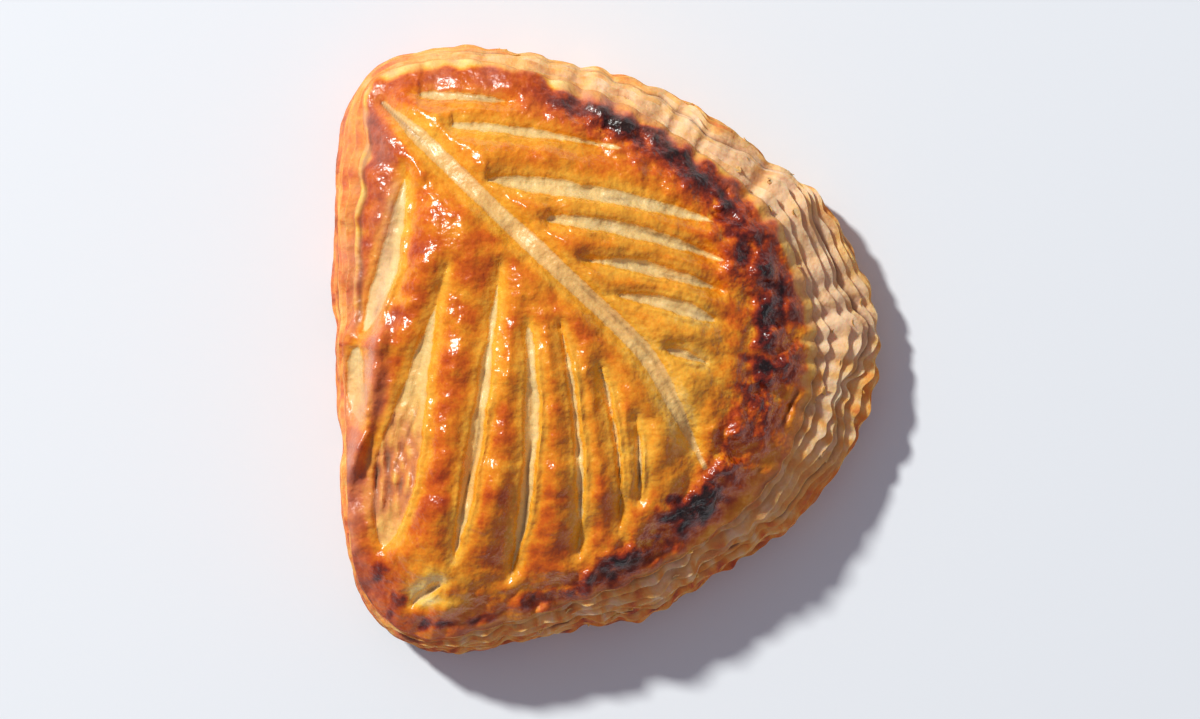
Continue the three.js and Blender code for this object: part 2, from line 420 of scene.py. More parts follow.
# %% Pillows, blisters and skin
PILLOW_RISE = 3.0
BLISTERS = 150
KNOB_RISE = 1.35
STALE_PLACE = (-45, -26)
STALE_WIDTH = 15
NEAR_CORNER = (-38, -55)  # the end of the fold that lies towards -Y
CORNER_WIDTH = 12

rng = np.random.default_rng(4)
blister = np.zeros(len(plan))
for _ in range(BLISTERS):
    centre = plan[rng.integers(len(plan))]
    size, rise = rng.uniform(0.9, 2.6), rng.uniform(0.25, 0.8)
    blister = np.maximum(blister, rise * hill(plan, centre, size))
crimp = round_edge(flutes(0.1), at) * step(7, 1, to_rim)
uneven = 0.9 * grain(plan3, 15, 1) + 0.55 * grain(plan3, 5.5, 2)
ripple = 0.3 * grain(plan3 * (0.45, 1.2, 1), 3.4, 7) * fold_side  # across the strips
pimpled = 0.17 * grain(plan3, 2.4, 3)
knobs = grain(plan3, 4.4, 5) + 0.6 * grain(plan3, 2.2, 8)
strands = 0.14 * grain(np.column_stack([plan / 6, fibre * 0.8]), 1, 6)

stale = hill(plan, STALE_PLACE, STALE_WIDTH)  # the widest cut browned inside
torn_floor = stale * grain(plan3 * (1.5, 0.6, 1), 2.1, 45)  # and its leaves tore

skin = dome + roll - ditch + uneven + KNOB_RISE * knobs * on_roll + crimp
skin += (PILLOW_RISE * pillow + 0.7 * raised + ripple * pillow) * among
skin += 0.6 * knobs * hill(plan, NEAR_CORNER, CORNER_WIDTH)
skin += (blister * (0.4 + 0.9 * on_roll) + pimpled * (0.8 + 0.6 * on_roll)) * (1 - cut)
skin += (strands + 0.8 * torn_floor) * cut - cut_depth * 0.45 - 0.3 * split_and_shade
skin += (ROPE_RISE + 0.7 * knobs) * rope - 0.6 * rope_dip_and_shade + lip_relief

# %% [markdown]
# ## The wall of leaves
# Folding butter into dough makes hundreds of leaves, and steam drives them apart. The wall is rows
# of points round the turnover, three for each leaf: the gap below it, its lower lip and its upper
# lip. Thickness is shared out by noise, so leaves pinch together and spring apart but never cross.
# Leaves stay stuck together in groups. The middle leaves of a group are held further out than an
# even lean would put them, so each group shows as a soft step.

# %% Thickness and reach of the leaves
LEAVES = 12
GROUP = 4  # how many leaves stay stuck together
GROUP_STEP = 0.8  # 0 lets the wall lean evenly, and more makes clearer steps
BASE_TUCK = 2.6
CRUST_THICK = 1.5
FOOT = 1.3  # where the lowest leaf starts


def leaf_noise(leaf, size, seed, climb=3.0):
    """Noise round the edge that also changes from leaf to leaf."""
    return grain(np.column_stack([edge, np.full(SPOKES, leaf * climb)]), size, seed)


untorn = 1 - 0.8 * torn
crumbly = step(0.3, -0.5, outward[:, 1]) * untorn  # the side towards -Y has short ragged leaves
thickness = []
for leaf in range(LEAVES):
    uneven_leaf = 1 + 0.5 * leaf_noise(leaf, 12, 20) + (0.1 + 0.2 * crumbly) * leaf_noise(leaf, 4, 21)
    thickness.append(np.clip(uneven_leaf, 0.3, 3))
thickness = np.array(thickness) / np.sum(thickness, axis=0)
climbed = np.vstack([np.zeros(SPOKES), np.cumsum(thickness, axis=0)])
rag = (0.3 + 0.7 * curved) * untorn
fan_power = mix(2.6, 1.35, curved)
widest_at = mix(0.18, 0.4, curved)  # how high up the widest leaf is, as a share of the wall
group_height = GROUP / LEAVES / (1 - widest_at)

leaf_out = []
for leaf in range(LEAVES):
    middle = (climbed[leaf] + climbed[leaf + 1]) / 2
    level = np.clip((middle - widest_at) / (1 - widest_at), 0, 1)
    within = (leaf % GROUP + 0.5) / GROUP
    held_out = GROUP_STEP * untorn * (within - within**2.4) * group_height
    stepped = np.maximum(level - held_out, 0)
    tuck = BASE_TUCK * 0.4 * (np.clip(widest_at - middle, 0, 1) / widest_at) ** 1.5
    group = leaf // GROUP
    shag = 0.6 * leaf_noise(group, 14, 22, 9) + 0.3 * leaf_noise(group, 5, 23, 9)
    shag += 0.12 * leaf_noise(leaf, 7, 24) + (0.06 + 0.7 * crumbly) * leaf_noise(leaf, 3.4, 25)
    fluted = mix(1.4, 0.8, step(5, 9, leaf))  # the cutter's lobes are deeper in the lower leaves
    waves = flutes(0.22 * leaf_noise(group, 30, 28, 9)) * untorn * fluted
    leans = 0.9 * ledge - inset * stepped**fan_power
    leaf_out.append(leans - tuck + rag * shag + waves - dent * (1 - 0.85 * level))

# %% [markdown]
# Each row keeps what it is as well as where it is: how many leaves up, and how open a gap it lies in,
# which is 0 on a lip and sets how dark the finish paints the shade there. The finish draws its fine
# lines and its painted shadows from these.

# %% Rows of the wall
GAP_DEPTH = 0.2
GROUPS_PART = 2.4  # how much deeper a gap is between two groups, and inside one
LEAVES_PART = 0.3
# GROUP_GAP_SHADE and LEAF_GAP_SHADE set how dark the finish paints the shade in those two kinds of gap.
GROUP_GAP_SHADE = 1.2  # how open the finish draws those two kinds of gap
LEAF_GAP_SHADE = 0.55
CREVICE = 1.4  # how far the wall goes in below the crust
Row = namedtuple("Row", "plan height leaf gap")

border = np.zeros(SPOKES, int)  # the grid's border points, in the order of the spokes
on_border = np.flatnonzero(reach > 1 - 1e-9)
border[np.round(at[on_border] * SPOKES).astype(int) % SPOKES] = on_border
top_height = skin[border]
crust_out = ((plan[border] - edge) * outward).sum(1)
span = top_height - CRUST_THICK - FOOT
rows = []


def add_row(out, height, leaf, gap):
    rows.append(Row(edge + outward * out[:, None], height, leaf, gap))


foot_out = leaf_out[0] + 0.25 * grain(edge3, 5, 30)
# The lowest row gets a little painted shade where the wall tucks under onto the floor.
add_row(foot_out - BASE_TUCK * 0.7, np.zeros(SPOKES), 0, 0.3)
add_row(foot_out - BASE_TUCK * 0.35, np.full(SPOKES, 0.3), 0, 0)
add_row(foot_out - BASE_TUCK * 0.1, np.full(SPOKES, 0.8), 0, 0)
for leaf in range(LEAVES):
    low = FOOT + span * climbed[leaf]
    high = FOOT + span * climbed[leaf + 1]
    under = leaf_out[max(leaf - 1, 0)]
    starts_group = leaf % GROUP == 0
    parted = GROUPS_PART if starts_group else LEAVES_PART
    depth = GAP_DEPTH * parted * rag * (0.5 + 0.8 * leaf_noise(leaf, 6, 26)) * (1 + 7 * crumbly)
    sag = 0.12 * leaf_noise(leaf, 7, 27) * rag
    gap_out = np.minimum(under, leaf_out[leaf]) - np.clip(depth, 0.05, 3)
    add_row(gap_out, mix(low, high, 0.1) + sag * 0.3, leaf, GROUP_GAP_SHADE if starts_group else LEAF_GAP_SHADE)
    add_row(leaf_out[leaf] - 0.06, mix(low, high, 0.38) + sag, leaf + 0.3, 0)
    add_row(leaf_out[leaf], mix(low, high, 0.88) + sag, leaf + 0.8, 0)
crevice = CREVICE * rag + 1.6 * ledge
# The crevice under the crust's edge gets the darkest painted shade.
add_row(np.minimum(crust_out, leaf_out[-1]) - crevice, top_height - CRUST_THICK + 0.1, LEAVES, 1)
add_row(crust_out + 0.25, top_height - CRUST_THICK * 0.62, LEAVES + 0.4, 0)
add_row(crust_out + 0.3, top_height - CRUST_THICK * 0.22, LEAVES + 0.8, 0)
print("the wall has", len(rows), "rows")

# %% [markdown]
# ## One closed skin
# The base, the wall and the crust become one mesh. The base is flat, since the tray was flat. Points
# of the wall's rows are joined row to row, and its last row meets the border of the crust's grid.
# Three rings close the base, so there is no hole and no pole with hundreds of thin triangles.


# %% Join the points
def grid_faces(cell):
    """The four-sided faces between the point numbers of a grid."""
    return np.stack([cell[:-1, :-1], cell[:-1, 1:], cell[1:, 1:], cell[1:, :-1]], axis=-1).reshape(-1, 4)


BASE_RINGS = (0.2, 0.5, 0.8)
foot = rows[0].plan - CROWN
base_rows = [np.column_stack([CROWN + foot * part, np.zeros(SPOKES)]) for part in BASE_RINGS]
wall_rows = [np.column_stack([row.plan, row.height]) for row in rows]
points = np.vstack([*base_rows, *wall_rows, np.column_stack([plan, skin])])

ring_count = len(base_rows) + len(wall_rows)
crust_start = ring_count * SPOKES
rings = [np.arange(SPOKES) + ring * SPOKES for ring in range(ring_count)]
rings.append(border + crust_start)
faces = [rings[0][::-1].tolist()]
for lower, upper in itertools.pairwise(rings):
    faces += np.stack([lower, np.roll(lower, -1), np.roll(upper, -1), upper], axis=1).tolist()
cell = np.arange((GRID + 1) ** 2).reshape(GRID + 1, GRID + 1) + crust_start
faces += grid_faces(cell).tolist()


def fit_to_box(places):
    """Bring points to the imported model's size, standing on the floor about the origin."""
    low, high = places.min(0), places.max(0)
    places = places - np.array([*((low + high) / 2)[:2], low[2]])
    return places * cad_size / (high - low)


points = fit_to_box(points)
print("the skin has", len(points), "points and", len(faces), "faces")

# %% [markdown]
# ## How far each place has baked
# Browning follows heat: what stands high or thin browns first, what was hidden in a cut stays pale.
# `bake` goes from 0, raw and creamy, through gold, orange and red-brown to 1, burnt. `scorch` says
# how blotchy it is. They are kept for each point, with `glaze`, where the egg wash lies, `opening`,
# how far the nearest cut is, `split_and_shade`, painted shade along the thin splits, the creases and
# the dip beside the twisted strip, `pale`, how raw a cut's floor stayed, `pink_and_sheen`, a pinkish
# tint that is painted sheen on the crust and a pinkish tone on the leaves, `leaf`, which counts
# through the leaves, and `gap`, which sets the painted shade in the wall's gaps.

# %% Bake and scorch on the crust
BURNS = [  # places that caught: x, y, how long, how wide, turned by degrees, how badly
    (-8, 51, 4, 1.6, -20, 0.22),
    (3.4, 45.5, 3.4, 1.5, -25, 0.26),
    (16.5, 38, 4.5, 1.8, -35, 0.24),
    (25.5, 28.5, 4.5, 2, -60, 0.3),
    (28.5, 20.5, 4, 2.2, -60, 0.38),
    (33.6, 7, 6.5, 2.8, 80, 0.42),
    (33, -3, 4, 3.4, 30, 0.45),
    (29.5, -9.5, 3.5, 2.2, -70, 0.3),
    (26, -15, 3.5, 1.4, 60, 0.25),
    (17.6, -33.6, 6.4, 3.2, 28, 0.62),
    (2.5, -45, 4.5, 1.8, 25, 0.35),
    (-16, -53, 3, 1.2, 10, 0.3),
    (-44, -54, 4.5, 2, 60, 0.62),
    (-35, -58, 3, 1.4, 10, 0.5),
    (-26, -57, 3, 1.2, 10, 0.42),
    (-47.5, -46, 3, 1.3, 80, 0.4),
    (-41.4, 37.2, 1.7, 0.9, 80, 0.35),
]
BURN_STRENGTH = 0.66
PALE_PAINTED_LIGHT_PLACE = (17, -14)  # beside the midrib
PALE_CORNER = (-35, -51)
SHEEN_CORNER = (-46, -50)

blotch = grain(plan3, 7, 40)
fleck = grain(plan3, 2.6, 41)
banded = grain(plan3 * (0.5, 1.3, 1), 4, 43)
near_fold = step(0, -42, plan[:, 0] + 0.35 * plan[:, 1])
crest = step(0.3, 0.8, pillow) * among
far_half = 0.365 + 0.09 * crest + 0.03 * step(5, 20, plan[:, 1])
fold_half = 0.385 + crest * (0.13 + 0.04 * near_fold)
bake = mix(far_half, fold_half, fold_side)
crest_variation = 0.05 * fleck + 0.07 * banded * (0.6 + near_fold)
bake += 0.03 * blotch + mix(0.4, 0.8, fold_side) * crest * crest_variation

ring_width = mix(4.0, 8, bump(roll_way - 0.58, 0.2))  # the scorched ring is widest towards +X
ring = bump(roll_gap + 1.0, ring_width) * roll_ends * mix(0.3, 1, step(0.04, 0.2, roll_way))
bake += ring * (0.24 + 0.13 * knobs) + 0.06 * on_roll * step(0.03, 0.14, roll_way)
bake += 0.08 * step(8, 4, to_rim) * curved_at * step(0.05, 0.2, roll_way)
sunny = step(13, 5, to_rim) * (1 - curved_at)  # the steep side over the fold
# Paler beside the midrib: partly a less baked patch, partly painted light that brightens the slope facing
# away from the lamp.
bake -= 0.07 * hill(plan, PALE_PAINTED_LIGHT_PLACE, 18)
bake -= 0.15 * hill(plan, PALE_CORNER, 9) * (1 + 1.4 * banded)
bake += 0.07 * sunny + 0.08 * step(14, 5, to_rim) * step(30, 50, plan[:, 1])
scorch = np.clip(0.95 * ring * (0.8 + 0.5 * grain(plan3, 6, 42)), 0, 1)
char = np.zeros(len(plan))
for x, y, long, broad, degrees, badly in BURNS:
    c, s = math.cos(math.radians(degrees)), math.sin(math.radians(degrees))
    dx, dy = plan[:, 0] - x, plan[:, 1] - y
    far = np.hypot((dx * c + dy * s) / long, (dy * c - dx * s) / broad)
    char = np.maximum(char, BURN_STRENGTH * badly * step(1.35, 0.2, far + 0.7 * fleck + 0.4 * knobs))
scorch = np.maximum(scorch, char * 1.3)
bake += char

# No egg reached the crust's own edge, so it stays pale and matt, except along the half of the fold
# that lies towards -Y.
far_fold = np.maximum(step(42, 56, plan[:, 1]), 0.8 * step(-5, 15, plan[:, 1]))
far_side = np.maximum(curved_at, far_fold)
rim_bare = step(2.2, 0.4, to_rim + 1.3 * grain(plan3, 3.4, 44)) * far_side
bare_tone = 0.3 + 0.16 * step(5, -20, plan[:, 1]) + 0.1 * blotch + 0.06 * fleck
bake = mix(bake, bare_tone, rim_bare)
in_cut = 0.2 + 0.04 * fleck + 0.2 * char + stale * (0.42 - 0.24 * torn_floor)
in_cut += 0.14 * step(2.5, 1.5, np.abs(midrib_gap)) + 0.05 * blotch
bake = np.clip(mix(bake, in_cut, cut), 0, 1)
scorch *= 1 - rim_bare
# Painted shade: a dark line along the splits and creases, and a fainter one in the dip beside the twisted
# strip.
painted_split_shade = np.maximum(split_and_shade, 0.5 * rope_dip_and_shade)
# Painted sheen: the greyish-pink reflection of the glaze on steep slopes, laid on as colour beside the
# twisted strip, at the corner towards -Y, along the crust's edge and bare rim, and on the steep side over
# the fold.
pink_and_sheen = 0.5 * bump(rope_gap + 1.2, 1.4) * (1 + 0.6 * fleck)
pink_and_sheen += 0.3 * hill(plan, SHEEN_CORNER, 5) * banded
pink_and_sheen += step(4, 1.5, to_rim) * 0.2 * blotch + 0.5 * rim_bare * (1 + fleck) * step(-35, 5, plan[:, 1])
pink_and_sheen += 0.25 * sunny * (1 + blotch) * step(-45, -30, plan[:, 1])
crust_glaze = (1 - 0.35 * cut) * (1 - rim_bare) * (1 - 0.5 * step(7, 2, to_rim))

# %% Bake on the wall, and the mesh itself
NO_CUT_NEAR = 5  # an opening value that no finish takes for a cut

wall_bake = []
for number, row in enumerate(rows):
    xyz = np.column_stack([row.plan, row.height * 2.5])
    level = number / len(rows)
    tone = 0.03 + 0.12 * grain(xyz, 7, 50) + 0.1 * grain(xyz, 3, 51)
    tone += 0.14 * step(0.93, 1, level) + 0.24 * step(0.68, 0.4, level)
    tone += 0.03 * (row.gap == 0) + 0.34 * (1 - curved) + 0.12 * torn
    tone += crumbly * (0.1 + 0.26 * grain(xyz, 2.4, 52) + 0.16 * grain(xyz, 6, 53))
    wall_bake.append(tone)
base_count = SPOKES * len(base_rows)
wall_count = crust_start - base_count


def by_part(base, wall, crust):
    """One value for each point, from one value or one row of values for each part."""
    parts = ((base, base_count), (wall, wall_count), (crust, len(plan)))
    return np.concatenate([np.broadcast_to(value, count) for value, count in parts])


def by_row(rule):
    """One value for each point of the wall, from a rule that says what a row's values are."""
    return np.concatenate([np.broadcast_to(rule(row), SPOKES) for row in rows])


def wall_blush(row):
    return mix(0.33, 0.15 + 0.25 * step(5, 9, row.leaf), curved)


attributes = {
    "bake": by_part(0.6, np.concatenate(wall_bake), bake),
    "scorch": by_part(0.3, 0, scorch),
    "glaze": by_part(0, 0, crust_glaze),
    "pink_and_sheen": by_part(0, by_row(wall_blush), np.clip(pink_and_sheen, 0, 1)),
    "pale": by_part(0, 0, 0.55 - 0.33 * stale),
    "opening": by_part(NO_CUT_NEAR, NO_CUT_NEAR, opening),
    "split_and_shade": by_part(0, 0, painted_split_shade),
    "leaf": by_part(0, by_row(lambda row: row.leaf), fibre * 1.5),
    # gap: how dark the painted shade in the wall's gaps is, half again as strong on the ragged side towards
    # -Y.
    "gap": by_part(0, by_row(lambda row: row.gap * (1 + 0.5 * crumbly)), 0),
    "is_wall": by_part(0, 1, 0),
    "is_base": by_part(1, by_row(lambda row: row.height.max() < 0.1), 0),
    "loose": by_part(0, by_row(lambda row: curved * (row.gap == 0) * (row.leaf > 1)), 0),
}


def make_object(name, places, polygons, values):
    mesh = bpy.data.meshes.new(name)
    mesh.from_pydata((places * MM).tolist(), [], polygons)
    mesh.polygons.foreach_set("use_smooth", [True] * len(mesh.polygons))
    for key, value in values.items():
        layer = mesh.attributes.new(key, "FLOAT", "POINT")
        layer.data.foreach_set("value", np.asarray(value, np.float32))
    mesh.update()
    made = bpy.data.objects.new(name, mesh)
    bpy.context.scene.collection.objects.link(made)
    return made


rough_turnover = make_object("rough_turnover", points, faces, attributes)

# %% [markdown]
# ## Writing node trees
# Shaders and Geometry Nodes are both trees of nodes, so one small helper writes both. `put` sets a
# number on a socket or links another socket to it, so each finish further down stays short.


# %% Node helper
def srgb(red, green, blue):
    """A colour as it is seen, 0 to 255, made linear for the shader."""
    seen = np.array([red, green, blue]) / 255
    linear = np.where(seen > 0.04045, ((seen + 0.055) / 1.055) ** 2.4, seen / 12.92)
    return [*linear.tolist(), 1]


class Tree:
    """A short way to write the nodes of one tree."""

    def __init__(self, tree):
        self.tree = tree

    def node(self, kind, **settings):
        made = self.tree.nodes.new(kind)
        for name, value in settings.items():
            setattr(made, name, value)
        return made

    def put(self, socket, value):
        if isinstance(value, bpy.types.NodeSocket):
            self.tree.links.new(value, socket)
        else:
            socket.default_value = value

    def build(self, kind, inputs, **settings):
        """A node with its inputs filled, by name or by number."""
        made = self.node(kind, **settings)
        for key, value in inputs.items():
            self.put(made.inputs[key], value)
        return made

    def math(self, operation, *values, clamp=False):
        inputs = dict(enumerate(values))
        return self.build("ShaderNodeMath", inputs, operation=operation, use_clamp=clamp).outputs[0]

    def plus(self, a, b, clamp=False):
        return self.math("ADD", a, b, clamp=clamp)

    def times(self, a, b):
        return self.math("MULTIPLY", a, b)

    def attribute(self, name):
        return self.node("ShaderNodeAttribute", attribute_name=name).outputs["Fac"]

    def noise(self, vector, scale, detail=3.0, roughness=0.5):
        inputs = {"Vector": vector, "Scale": scale, "Detail": detail, "Roughness": roughness}
        return self.build("ShaderNodeTexNoise", inputs).outputs[0]

    def around_zero(self, fac, strength):
        return self.times(self.math("SUBTRACT", fac, 0.5), strength)

    def ease(self, value, low, high):
        """Smoothly 0 to 1 as value goes from low to high."""
        inputs = {"Value": value, "From Min": low, "From Max": high}
        return self.build("ShaderNodeMapRange", inputs, interpolation_type="SMOOTHSTEP").outputs[0]

    def blend(self, fac, a, b, kind="MIX"):
        made = self.node("ShaderNodeMix", data_type="RGBA", blend_type=kind)
        for name, value in (("Factor_Float", fac), ("A_Color", a), ("B_Color", b)):
            self.put(next(s for s in made.inputs if s.identifier == name), value)
        return next(s for s in made.outputs if s.identifier == "Result_Color")


# %% [markdown]
# ## Two effects that all finishes share
# `browning` turns a bake value into a colour, with blotches and specks laid over it, because pastry
# never browns evenly. `leaf_lines` draws the fine lines where dough and butter lay in turn: noise
# that is squeezed across the leaves and stretched along them. Each is a group, built once.

# %% Browning
TONES = [
    (0.0, srgb(250, 232, 192)),
    (0.2, srgb(248, 208, 122)),
    (0.34, srgb(247, 177, 56)),
    (0.46, srgb(232, 138, 24)),
    (0.56, srgb(212, 98, 12)),
    (0.66, srgb(178, 64, 10)),
    (0.75, srgb(134, 42, 16)),
    (0.84, srgb(102, 26, 18)),
    (0.92, srgb(66, 18, 14)),
    (1.0, srgb(32, 11, 9)),
]
DOUGH_LIGHT = srgb(238, 208, 156)
DOUGH_SHADE = srgb(214, 174, 118)
SPLIT_SHADE_BROWN = srgb(106, 50, 18)
CRUST_SHEEN_PINK = srgb(206, 150, 126)
LEAF_TINT = srgb(255, 230, 222)
LEAF_LINE = srgb(192, 124, 78)
LEAF_BLUSH = srgb(226, 172, 134)
GAP_SHADE_BROWN = srgb(140, 76, 44)
FLOUR = srgb(236, 214, 176)
PALE_FLOOR = srgb(236, 238, 243)


def new_group(name, inputs, outputs):
    """An empty shader group with named sockets, its input node's sockets and its output node."""
    group = bpy.data.node_groups.new(name, "ShaderNodeTree")
    for direction, sockets in (("INPUT", inputs), ("OUTPUT", outputs)):
        for socket, kind in sockets.items():
            group.interface.new_socket(socket, in_out=direction, socket_type=kind)
    t = Tree(group)
    return group, t, t.node("NodeGroupInput").outputs, t.node("NodeGroupOutput").inputs


FLOAT, COLOUR, VECTOR = "NodeSocketFloat", "NodeSocketColor", "NodeSocketVector"
browning, t, given, result = new_group(
    "browning",
    {"Place": VECTOR, "Bake": FLOAT, "Scorch": FLOAT, "Blotch": FLOAT, "Speck": FLOAT},
    {"Colour": COLOUR},
)
blotches = t.around_zero(t.noise(given["Place"], 1 / (2.4 * MM), 4, 0.6), 1)
specks = t.around_zero(t.noise(given["Place"], 1 / (1.0 * MM), 2, 0.6), given["Speck"])
reach_of_blotch = t.math("MULTIPLY_ADD", given["Scorch"], 0.85, given["Blotch"])
tone = t.math("MULTIPLY_ADD", blotches, reach_of_blotch, given["Bake"])
tone = t.plus(tone, specks, clamp=True)
ramp_node = t.build("ShaderNodeValToRGB", {"Fac": tone})
while len(ramp_node.color_ramp.elements) < len(TONES):
    ramp_node.color_ramp.elements.new(0.5)
for element, (place, colour) in zip(ramp_node.color_ramp.elements, TONES):
    element.position = place
    element.color = colour
t.put(result["Colour"], ramp_node.outputs["Color"])

# %% Leaf lines
leaf_lines, t, given, result = new_group(
    "leaf_lines", {"Place": VECTOR, "Leaf": FLOAT, "Thickness": FLOAT}, {"Lines": FLOAT}
)
place_parts = t.build("ShaderNodeSeparateXYZ", {0: given["Place"]}).outputs
long_x = t.times(place_parts[0], 0.1 / MM)
long_y = t.times(place_parts[1], 0.1 / MM)
across_leaf = t.math("DIVIDE", given["Leaf"], given["Thickness"])
squeezed = t.build("ShaderNodeCombineXYZ", {0: long_x, 1: long_y, 2: across_leaf}).outputs[0]
t.put(result["Lines"], t.noise(squeezed, 1, 3, 0.7))

# %% [markdown]
# ## Three finishes
# The egg-washed crust is glossy and golden, and its cuts are pale and half matt. The leaves of the
# wall had no egg, so they are matt, pale and a little see-through. Both read the same attributes,
# so they meet without a seam. The base is dull and evenly brown from the tray.


# %% The crust
def new_finish(name):
    made = bpy.data.materials.new(name)
    made.use_nodes = True
    t = Tree(made.node_tree)
    place = t.node("ShaderNodeTexCoord").outputs["Object"]
    return made, t, made.node_tree.nodes["Principled BSDF"], place


def use_group(t, group, **inputs):
    made = t.node("ShaderNodeGroup", node_tree=group)
    for name, value in inputs.items():
        t.put(made.inputs[name.replace("_", " ")], value)
    return made.outputs


def add_relief(t, shader, height, strength):
    inputs = {"Strength": strength, "Distance": 1 * MM, "Height": height}
    t.put(shader.inputs["Normal"], t.build("ShaderNodeBump", inputs).outputs["Normal"])


def set_translucence(shader, weight):
    shader.inputs["Subsurface Weight"].default_value = weight
    shader.inputs["Subsurface Radius"].default_value = (1.0, 0.55, 0.3)
    shader.inputs["Subsurface Scale"].default_value = 2.2 * MM


egg_washed, t, shader, place = new_finish("egg_washed_crust")
a_glaze, a_scorch, a_split_shade = t.attribute("glaze"), t.attribute("scorch"), t.attribute("split_and_shade")
ragged_edge = t.plus(t.attribute("opening"), t.around_zero(t.noise(place, 1 / (0.9 * MM)), 0.7))
bare = t.ease(ragged_edge, 0.12, -0.12)
lines = use_group(t, leaf_lines, Place=place, Leaf=t.attribute("leaf"), Thickness=0.8)["Lines"]
brown = use_group(
    t, browning, Place=place, Bake=t.attribute("bake"), Scorch=a_scorch, Blotch=0.14, Speck=0.15
)
dough = t.blend(lines, DOUGH_SHADE, DOUGH_LIGHT)
colour = t.blend(t.times(bare, t.attribute("pale")), brown["Colour"], dough)
# Painted shade: dark brown along the splits, the creases and the dip beside the twisted strip.
colour = t.blend(t.times(a_split_shade, 0.7), colour, SPLIT_SHADE_BROWN)
# Painted sheen: a greyish-pink reflection laid on as colour where pink_and_sheen is high.
colour = t.blend(t.times(t.attribute("pink_and_sheen"), 0.6), colour, CRUST_SHEEN_PINK)
t.put(shader.inputs["Base Color"], colour)
specks = t.noise(place, 1 / (0.7 * MM), 3, 0.65)
roughness = t.math("SUBTRACT", 0.6, t.times(a_glaze, 0.35))
t.put(shader.inputs["Roughness"], t.plus(roughness, t.around_zero(specks, 0.12), clamp=True))
t.put(shader.inputs["Coat Weight"], t.times(a_glaze, 0.2))
shader.inputs["Coat Roughness"].default_value = 0.16
shader.inputs["Specular IOR Level"].default_value = 0.42
set_translucence(shader, 0.2)
fine = t.times(t.noise(place, 1 / (0.9 * MM), 1, 0.5), 0.38)
coarse = t.times(t.noise(place, 1 / (1.9 * MM), 1, 0.5), 0.6)
skin_height = t.times(t.plus(fine, coarse), t.plus(a_scorch, 0.7))
skin_height = t.plus(skin_height, t.times(t.ease(ragged_edge, -0.25, 0.25), 0.2))
skin_height = t.plus(skin_height, t.times(lines, t.times(bare, 0.2)))
add_relief(t, shader, skin_height, 0.7)

# %% The leaves of the wall and the base
bare_leaves, t, shader, place = new_finish("bare_leaves")
a_gap_shade = t.attribute("gap")
lines = use_group(t, leaf_lines, Place=place, Leaf=t.attribute("leaf"), Thickness=0.42)["Lines"]
brown = use_group(t, browning, Place=place, Bake=t.attribute("bake"), Scorch=0.0, Blotch=0.3, Speck=0.12)
pale = t.blend(1.0, brown["Colour"], LEAF_TINT, "MULTIPLY")
colour = t.blend(t.times(t.ease(lines, 0.52, 0.36), 0.45), pale, LEAF_LINE)
colour = t.blend(t.times(t.attribute("pink_and_sheen"), 0.65), colour, LEAF_BLUSH)
# Painted shade: the gaps between leaves drawn in brown.
colour = t.blend(t.times(t.ease(a_gap_shade, 0.35, 1.4), 0.9), colour, GAP_SHADE_BROWN)
t.put(shader.inputs["Base Color"], colour)
shader.inputs["Roughness"].default_value = 0.7
set_translucence(shader, 0.5)
wall_height = t.times(lines, 0.5)
wall_height = t.plus(wall_height, t.times(t.noise(place, 1 / (1.4 * MM)), 0.7))
add_relief(t, shader, wall_height, 0.6)

baked_base, t, shader, place = new_finish("baked_base")
brown = use_group(t, browning, Place=place, Bake=0.55, Scorch=0.1, Blotch=0.4, Speck=0.3)
flour = t.ease(t.noise(place, 1 / (9 * MM), 5, 0.7), 0.55, 0.7)
colour = t.blend(t.times(flour, 0.35), brown["Colour"], FLOUR)
t.put(shader.inputs["Base Color"], colour)
shader.inputs["Roughness"].default_value = 0.65
add_relief(t, shader, t.noise(place, 1 / (1.1 * MM), 4, 0.6), 0.4)

# %% [markdown]
# ## Pimples and loose flakes
# Two things repeat all over the pastry: the fine pimples of its skin, and the small flakes that
# lift off its leaves. Geometry Nodes make both on the surface itself. Noise moves the skin along its
# normals, and instances of one curled flake are scattered where leaves are loose. The tree realizes
# them and gives each part its finish, so what comes out is one plain mesh.


# %% One curled flake
FLAKE_COLUMNS, FLAKE_LINES = 5, 3


def flake_shape(length=2.4, width=1.4, thick=0.15, curl=0.3):
    """A thin closed plate, pointed at its ends and curled along its length."""
    u, v = np.meshgrid(np.linspace(-1, 1, FLAKE_COLUMNS), np.linspace(-1, 1, FLAKE_LINES))
    u, v = u.ravel(), v.ravel()
    x = u * length / 2
    y = v * width / 2 * (1 - 0.7 * u**2) + 0.15 * u
    z = curl * u**2 + 0.12 * v
    top, bottom = np.column_stack([x, y, z + thick]), np.column_stack([x, y, z])
    count = len(top)
    cell = np.arange(count).reshape(FLAKE_LINES, FLAKE_COLUMNS)
    quads = grid_faces(cell)
    rim = [*cell[0], *cell[1:, -1], *cell[-1, -2::-1], *cell[-2:0:-1, 0]]
    sides = [(a, b, b + count, a + count) for a, b in zip(rim, rim[1:] + rim[:1])]
    return np.vstack([top, bottom]), quads.tolist() + (quads[:, ::-1] + count).tolist() + sides


flake_points, flake_faces = flake_shape()
flake_marks = {"bake": 0.3, "is_wall": 1.0, "opening": NO_CUT_NEAR, "leaf": 3.0}
flake_values = {key: np.full(len(flake_points), value) for key, value in flake_marks.items()}
flake = make_object("flake", flake_points, flake_faces, flake_values)

